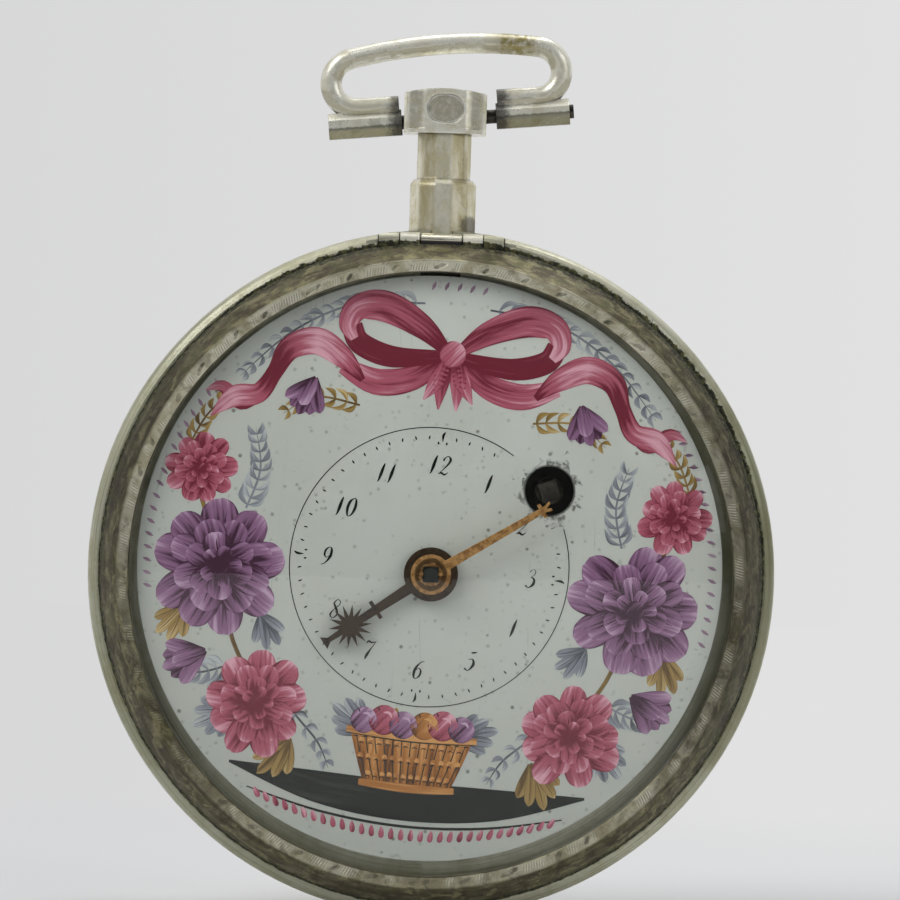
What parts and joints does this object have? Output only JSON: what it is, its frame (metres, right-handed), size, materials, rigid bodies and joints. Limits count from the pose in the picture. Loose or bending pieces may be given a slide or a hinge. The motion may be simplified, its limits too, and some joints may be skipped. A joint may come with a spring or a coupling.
{
  "type": "verge pocket watch",
  "caption": "Verge pocket watch with domed glass, painted enamel dial, hinged movement and bezel, tilted bow, fusee and chain, crown wheel and balance under a pierced bridge.",
  "frame": {"origin": "where the axis of the hands meets the flat of the back", "axes": "-Y out of the dial, +Z towards the pendant and the bow, +X to the right as seen from the dial"},
  "size_m": [0.055, 0.0187, 0.0711],
  "materials": {
    "silver": "worn silver",
    "silver_dark": "tarnished silver, engraved",
    "gilt_brass": "fire-gilt brass",
    "brass": "worn brass",
    "dark_brass": "blackened brass",
    "steel": "polished steel",
    "dark_steel": "darkened steel",
    "blued_steel": "blued steel",
    "enamel": "glossy vitreous enamel",
    "glass": "clear domed glass"
  },
  "bodies": {
    "case": {"case_body": "silver", "hinge_pin": "dark_steel", "pendant": "silver", "pendant_head": "silver", "bow_pin": "dark_steel"},
    "bow": {"bow": "silver"},
    "movement": {"pillar_plate": "gilt_brass", "top_plate": "gilt_brass", "pillars": "gilt_brass", "pillar_pins": "gilt_brass", "movement_hinge": "gilt_brass", "hinge_screws": "blued_steel", "dial": "enamel", "dial_pins": "brass", "minute_wheel_stud": "steel", "barrel_arbor": "steel", "setup_ratchet": "steel", "setup_click": "steel", "click_screw": "blued_steel", "stop_arm": "steel", "potence": "gilt_brass", "counter_potence": "gilt_brass", "spring_stud": "gilt_brass", "balance_spring": "blued_steel", "balance_bridge": "gilt_brass", "bridge_cap": "blued_steel", "bridge_screws": "blued_steel", "regulator_disc": "silver", "mainspring": "blued_steel", "catch_spring": "blued_steel"},
    "bezel": {"bezel": "silver_dark", "glass": "glass"},
    "minute": {"minute_hand": "brass", "hand_pin": "steel", "cannon_pinion": "dark_steel"},
    "hour": {"hour_hand": "dark_brass", "hour_wheel": "gilt_brass"},
    "motion": {"minute_wheel": "gilt_brass"},
    "great": {"great_wheel": "gilt_brass"},
    "fusee": {"fusee_cone": "gilt_brass", "fusee_arbor": "steel", "fusee_chain": "dark_steel"},
    "barrel": {"barrel_drum": "gilt_brass", "barrel_cover": "gilt_brass"},
    "centre": {"centre_wheel": "gilt_brass", "centre_arbor": "steel"},
    "third": {"third_wheel": "gilt_brass"},
    "contrate": {"contrate_wheel": "gilt_brass"},
    "crown": {"crown_wheel": "gilt_brass"},
    "balance": {"verge_staff": "steel", "balance_wheel": "gilt_brass"},
    "regulator": {"regulator_hand": "blued_steel"},
    "rack": {"regulator_rack": "steel"},
    "catch": {"movement_catch": "steel"}
  },
  "joints": [
    {"name": "bow_swing", "type": "hinge", "parent": "case", "child": "bow", "pos_m": [0, -0.009, 0.0365], "axis": [0.9954, 0, 0.0958], "range_deg": [-100, 100]},
    {"name": "movement_swing", "type": "hinge", "parent": "case", "child": "movement", "pos_m": [0, -0.0126, 0.0264], "axis": [-1, 0, 0], "range_deg": [0, 45]},
    {"name": "bezel_open", "type": "hinge", "parent": "movement", "child": "bezel", "pos_m": [0, -0.0126, 0.0264], "axis": [-1, 0, 0], "range_deg": [0, 85]},
    {"name": "minute_turn", "type": "hinge", "parent": "movement", "child": "minute", "pos_m": [0, 0, 0], "axis": [0, 1, 0], "continuous": true},
    {"name": "hour_turn", "type": "hinge", "parent": "movement", "child": "hour", "pos_m": [0, 0, 0], "axis": [0, 1, 0], "continuous": true},
    {"name": "motion_turn", "type": "hinge", "parent": "movement", "child": "motion", "pos_m": [0.0021, 0, -0.00364], "axis": [0, 1, 0], "continuous": true},
    {"name": "crown_turn", "type": "hinge", "parent": "movement", "child": "crown", "pos_m": [-0.00683, -0.0082, -0.00979], "axis": [1, 0, 0], "continuous": true},
    {"name": "contrate_turn", "type": "hinge", "parent": "movement", "child": "contrate", "pos_m": [-0.00683, 0, -0.00979], "axis": [0, -1, 0], "continuous": true},
    {"name": "third_turn", "type": "hinge", "parent": "movement", "child": "third", "pos_m": [-0.00513, 0, -0.00513], "axis": [0, -1, 0], "continuous": true},
    {"name": "centre_turn", "type": "hinge", "parent": "movement", "child": "centre", "pos_m": [0, 0, 0], "axis": [0, -1, 0], "continuous": true},
    {"name": "great_turn", "type": "hinge", "parent": "movement", "child": "great", "pos_m": [0.0092, 0, 0.0069], "axis": [0, -1, 0], "continuous": true},
    {"name": "winding", "type": "hinge", "parent": "great", "child": "fusee", "pos_m": [0.0092, 0, 0.0069], "axis": [0, -1, 0], "range_deg": [0, 1800], "deforming": ["fusee_chain"]},
    {"name": "barrel_turn", "type": "hinge", "parent": "movement", "child": "barrel", "pos_m": [-0.00862, 0, 0.00821], "axis": [0, -1, 0], "range_deg": [0, 1428.97], "deforming": ["mainspring"]},
    {"name": "balance_turn", "type": "hinge", "parent": "movement", "child": "balance", "pos_m": [0.0025, 0, -0.00979], "axis": [0, -1, 0], "range_deg": [-50, 50], "stiffness_Nm_per_rad": 0.0000057, "deforming": ["balance_spring"]},
    {"name": "regulator_turn", "type": "hinge", "parent": "movement", "child": "regulator", "pos_m": [0.0106, 0, -0.00013], "axis": [0, 1, 0], "range_deg": [-75, 75]},
    {"name": "rack_turn", "type": "hinge", "parent": "movement", "child": "rack", "pos_m": [0.0025, 0, -0.00979], "axis": [0, 1, 0], "range_deg": [-18.5, 18.5]},
    {"name": "catch_slide", "type": "slide", "parent": "movement", "child": "catch", "axis": [0, 0, 1], "range_m": [0, 0.0008], "stiffness_N_per_m": 60, "deforming": ["catch_spring"]}
  ],
  "couplings": [
    {"joint": "hour_turn", "follows": "minute_turn", "ratio": 0.083333},
    {"joint": "motion_turn", "follows": "minute_turn", "ratio": -0.33333},
    {"joint": "contrate_turn", "follows": "crown_turn", "ratio": -0.125},
    {"joint": "third_turn", "follows": "crown_turn", "ratio": 0.013889},
    {"joint": "centre_turn", "follows": "crown_turn", "ratio": -0.0013889},
    {"joint": "great_turn", "follows": "crown_turn", "ratio": 0.00027778},
    {"joint": "barrel_turn", "follows": "winding", "ratio": 0.79387},
    {"joint": "rack_turn", "follows": "regulator_turn", "ratio": -0.23529}
  ]
}
